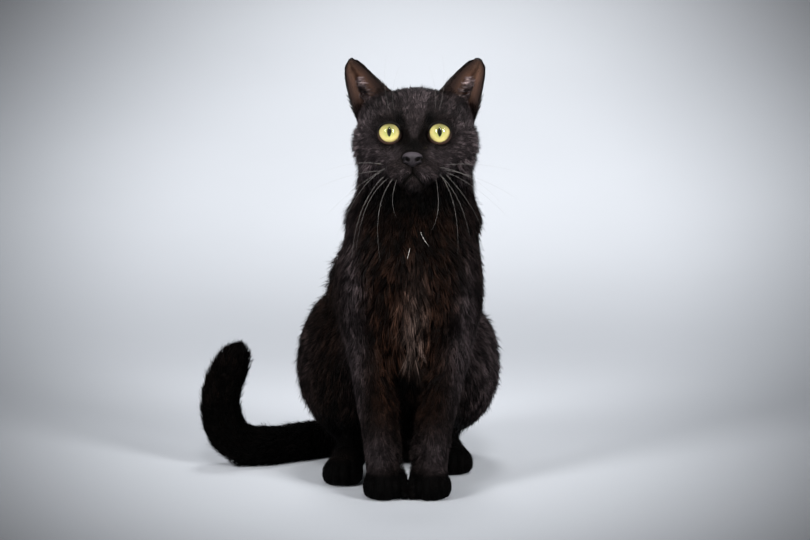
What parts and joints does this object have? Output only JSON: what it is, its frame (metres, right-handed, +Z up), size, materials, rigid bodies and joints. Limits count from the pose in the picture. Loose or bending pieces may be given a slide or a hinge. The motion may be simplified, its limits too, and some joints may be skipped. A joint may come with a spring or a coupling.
{
  "type": "sitting domestic cat",
  "caption": "Life-size still model of a short-haired black domestic cat, sitting upright with its forelegs together and its tail laid round its right side with the end raised.",
  "frame": {"origin": "on the floor, under the middle of the whole cat's bounding box", "axes": "+Z up, -Y the way the cat faces, +X its left side"},
  "size_m": [0.2726, 0.2784, 0.3692],
  "materials": {
    "black_coat": "short dense black fur with a faint sheen",
    "breast_coat": "longer rusty black fur on the breast",
    "ear_skin": "thin ear skin with sparse short hair",
    "nose_leather": "finely grained, slightly moist nose leather",
    "lid_skin": "bare black rims of the eyelids",
    "eye": "pale yellow iris with an upright slit pupil under a clear wet cornea"
  },
  "bodies": {
    "root": {"head": "black_coat", "nose": "nose_leather", "eye_right": "eye", "eye_left": "eye", "eyelids_right": "lid_skin", "eyelids_left": "lid_skin", "ear_right": "ear_skin", "ear_left": "ear_skin", "neck": "black_coat", "chest": "breast_coat", "hips": "black_coat", "foreleg_right": "black_coat", "foreleg_left": "black_coat", "forepaw_right": "black_coat", "forepaw_left": "black_coat", "haunch_right": "black_coat", "haunch_left": "black_coat", "hindfoot_right": "black_coat", "hindfoot_left": "black_coat", "tail_root": "black_coat", "tail_middle": "black_coat", "tail_end": "black_coat"}
  },
  "joints": []
}
